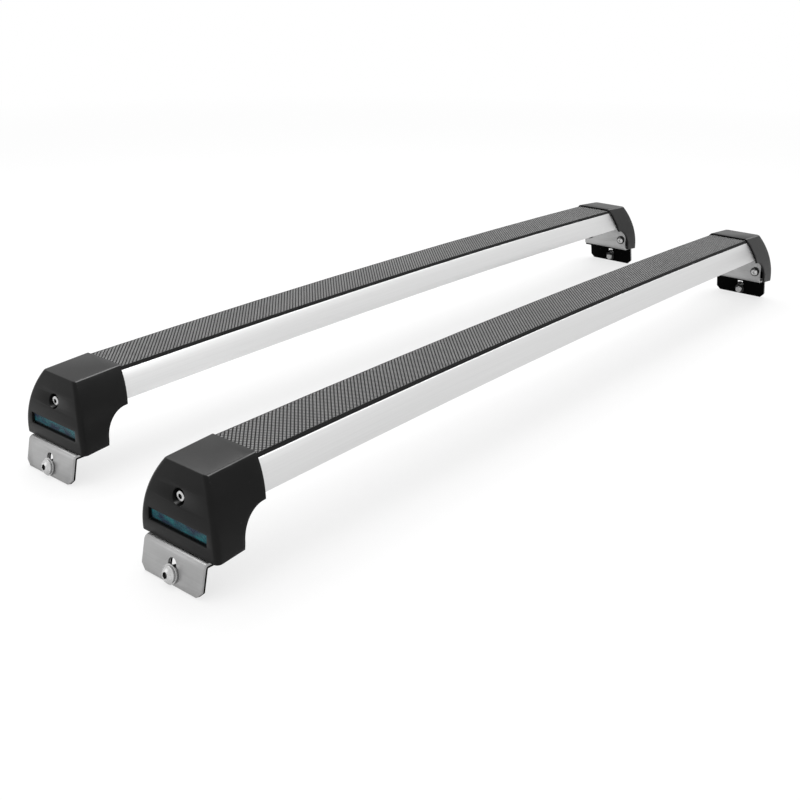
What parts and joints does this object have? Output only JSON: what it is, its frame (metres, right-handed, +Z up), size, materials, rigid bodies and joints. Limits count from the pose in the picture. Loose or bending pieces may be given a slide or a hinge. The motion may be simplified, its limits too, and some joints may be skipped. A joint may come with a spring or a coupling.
{
  "type": "roof rack",
  "caption": "Car roof rack: bowed aluminium crossbars with black grip strips, moulded end covers and folded steel clamp feet with peg bolts in slots.",
  "frame": {"origin": "on the surface the rack stands on, under the middle of its overall box", "axes": "+X along the crossbars towards the right feet, +Y from the front bar to the rear bar, +Z up"},
  "size_m": [1.065, 0.3174, 0.0971],
  "materials": {
    "bar_aluminium": "satin anodised extrusion",
    "strip_rubber": "matt black, fine diamond texture",
    "cover_plastic": "fine-grained black moulding",
    "badge_plastic": "plain teal insert",
    "steel_bright": "bright zinc",
    "support_cast": "as cast",
    "stainless": "brushed stainless sheet",
    "pad_rubber": "smooth black",
    "washer_black": "black",
    "collar_black": "black"
  },
  "bodies": {
    "rack": {"front_crossbar": "bar_aluminium", "front_grip_strip": "strip_rubber", "front_left_cover": "cover_plastic", "front_left_badge_insert": "badge_plastic", "front_left_cover_screw": "steel_bright", "front_left_end_support": "support_cast", "front_left_support_screws": "steel_bright", "front_left_clamp_bracket": "stainless", "front_left_clamp_pad": "pad_rubber", "front_left_clamp_screws": "steel_bright", "front_left_clamp_washers": "washer_black", "front_left_clamp_nuts": "steel_bright", "front_right_cover": "cover_plastic", "front_right_badge_insert": "badge_plastic", "front_right_cover_screw": "steel_bright", "front_right_end_support": "support_cast", "front_right_support_screws": "steel_bright", "front_right_clamp_bracket": "stainless", "front_right_clamp_pad": "pad_rubber", "front_right_clamp_screws": "steel_bright", "front_right_clamp_washers": "washer_black", "front_right_clamp_nuts": "steel_bright", "rear_crossbar": "bar_aluminium", "rear_grip_strip": "strip_rubber", "rear_left_cover": "cover_plastic", "rear_left_badge_insert": "badge_plastic", "rear_left_cover_screw": "steel_bright", "rear_left_end_support": "support_cast", "rear_left_support_screws": "steel_bright", "rear_left_clamp_bracket": "stainless", "rear_left_clamp_pad": "pad_rubber", "rear_left_clamp_screws": "steel_bright", "rear_left_clamp_washers": "washer_black", "rear_left_clamp_nuts": "steel_bright", "rear_right_cover": "cover_plastic", "rear_right_badge_insert": "badge_plastic", "rear_right_cover_screw": "steel_bright", "rear_right_end_support": "support_cast", "rear_right_support_screws": "steel_bright", "rear_right_clamp_bracket": "stainless", "rear_right_clamp_pad": "pad_rubber", "rear_right_clamp_screws": "steel_bright", "rear_right_clamp_washers": "washer_black", "rear_right_clamp_nuts": "steel_bright"},
    "front_left_peg_slider": {"front_left_peg_washer": "steel_bright", "front_left_peg_collar": "collar_black"},
    "front_left_peg_bolt_body": {"front_left_peg_bolt": "steel_bright"},
    "front_right_peg_slider": {"front_right_peg_washer": "steel_bright", "front_right_peg_collar": "collar_black"},
    "front_right_peg_bolt_body": {"front_right_peg_bolt": "steel_bright"},
    "rear_left_peg_slider": {"rear_left_peg_washer": "steel_bright", "rear_left_peg_collar": "collar_black"},
    "rear_left_peg_bolt_body": {"rear_left_peg_bolt": "steel_bright"},
    "rear_right_peg_slider": {"rear_right_peg_washer": "steel_bright", "rear_right_peg_collar": "collar_black"},
    "rear_right_peg_bolt_body": {"rear_right_peg_bolt": "steel_bright"}
  },
  "joints": [
    {"name": "front_left_peg_slide", "type": "slide", "parent": "rack", "child": "front_left_peg_slider", "axis": [0.2164, 0, 0.9763], "range_m": [0, 0.0088]},
    {"name": "front_left_peg_turn", "type": "hinge", "parent": "front_left_peg_slider", "child": "front_left_peg_bolt_body", "pos_m": [-0.52624, -0.1137, 0.0087], "axis": [0.9763, 0, -0.2164], "continuous": true},
    {"name": "front_right_peg_slide", "type": "slide", "parent": "rack", "child": "front_right_peg_slider", "axis": [-0.2164, 0, 0.9763], "range_m": [0, 0.0088]},
    {"name": "front_right_peg_turn", "type": "hinge", "parent": "front_right_peg_slider", "child": "front_right_peg_bolt_body", "pos_m": [0.49309, -0.1137, 0.0087], "axis": [-0.9763, 0, -0.2164], "continuous": true},
    {"name": "rear_left_peg_slide", "type": "slide", "parent": "rack", "child": "rear_left_peg_slider", "axis": [0.2164, 0, 0.9763], "range_m": [0, 0.0088]},
    {"name": "rear_left_peg_turn", "type": "hinge", "parent": "rear_left_peg_slider", "child": "rear_left_peg_bolt_body", "pos_m": [-0.48199, 0.1137, 0.0087], "axis": [0.9763, 0, -0.2164], "continuous": true},
    {"name": "rear_right_peg_slide", "type": "slide", "parent": "rack", "child": "rear_right_peg_slider", "axis": [-0.2164, 0, 0.9763], "range_m": [0, 0.0088]},
    {"name": "rear_right_peg_turn", "type": "hinge", "parent": "rear_right_peg_slider", "child": "rear_right_peg_bolt_body", "pos_m": [0.52624, 0.1137, 0.0087], "axis": [-0.9763, 0, -0.2164], "continuous": true}
  ]
}
